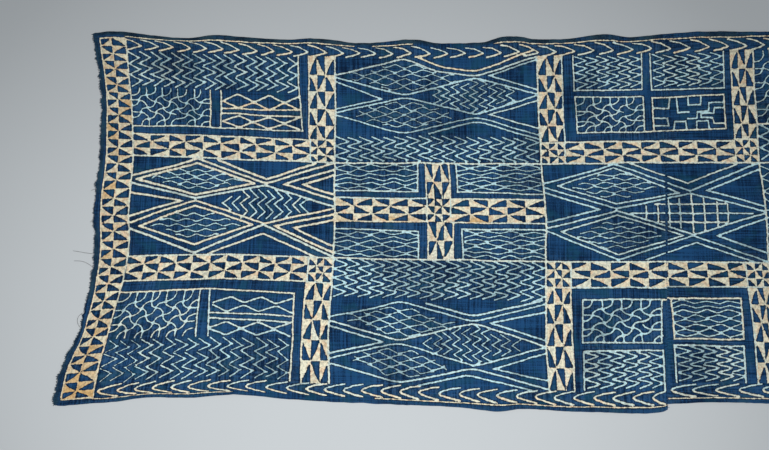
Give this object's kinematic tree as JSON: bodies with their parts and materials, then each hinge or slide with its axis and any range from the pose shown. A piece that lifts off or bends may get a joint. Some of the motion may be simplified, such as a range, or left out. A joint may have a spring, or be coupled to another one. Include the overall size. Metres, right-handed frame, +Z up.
{
  "type": "indigo resist-dyed cotton cloth",
  "caption": "Long hand-woven cotton cloth of webs sewn edge to edge, dyed dark blue with a pale stitched-resist pattern, lying flat; worn as a wrapper or hung as a backdrop.",
  "frame": {"origin": "under the middle of the cloth's outline, on the surface it lies on", "axes": "+X along the length of the cloth, +Y across it towards the upper hem, +Z up out of its face"},
  "size_m": [1.663, 0.848, 0.0063],
  "materials": {
    "cloth": "matte hand-woven cotton"
  },
  "bodies": {
    "root": {"left_web": "cloth", "right_web": "cloth"}
  },
  "joints": []
}
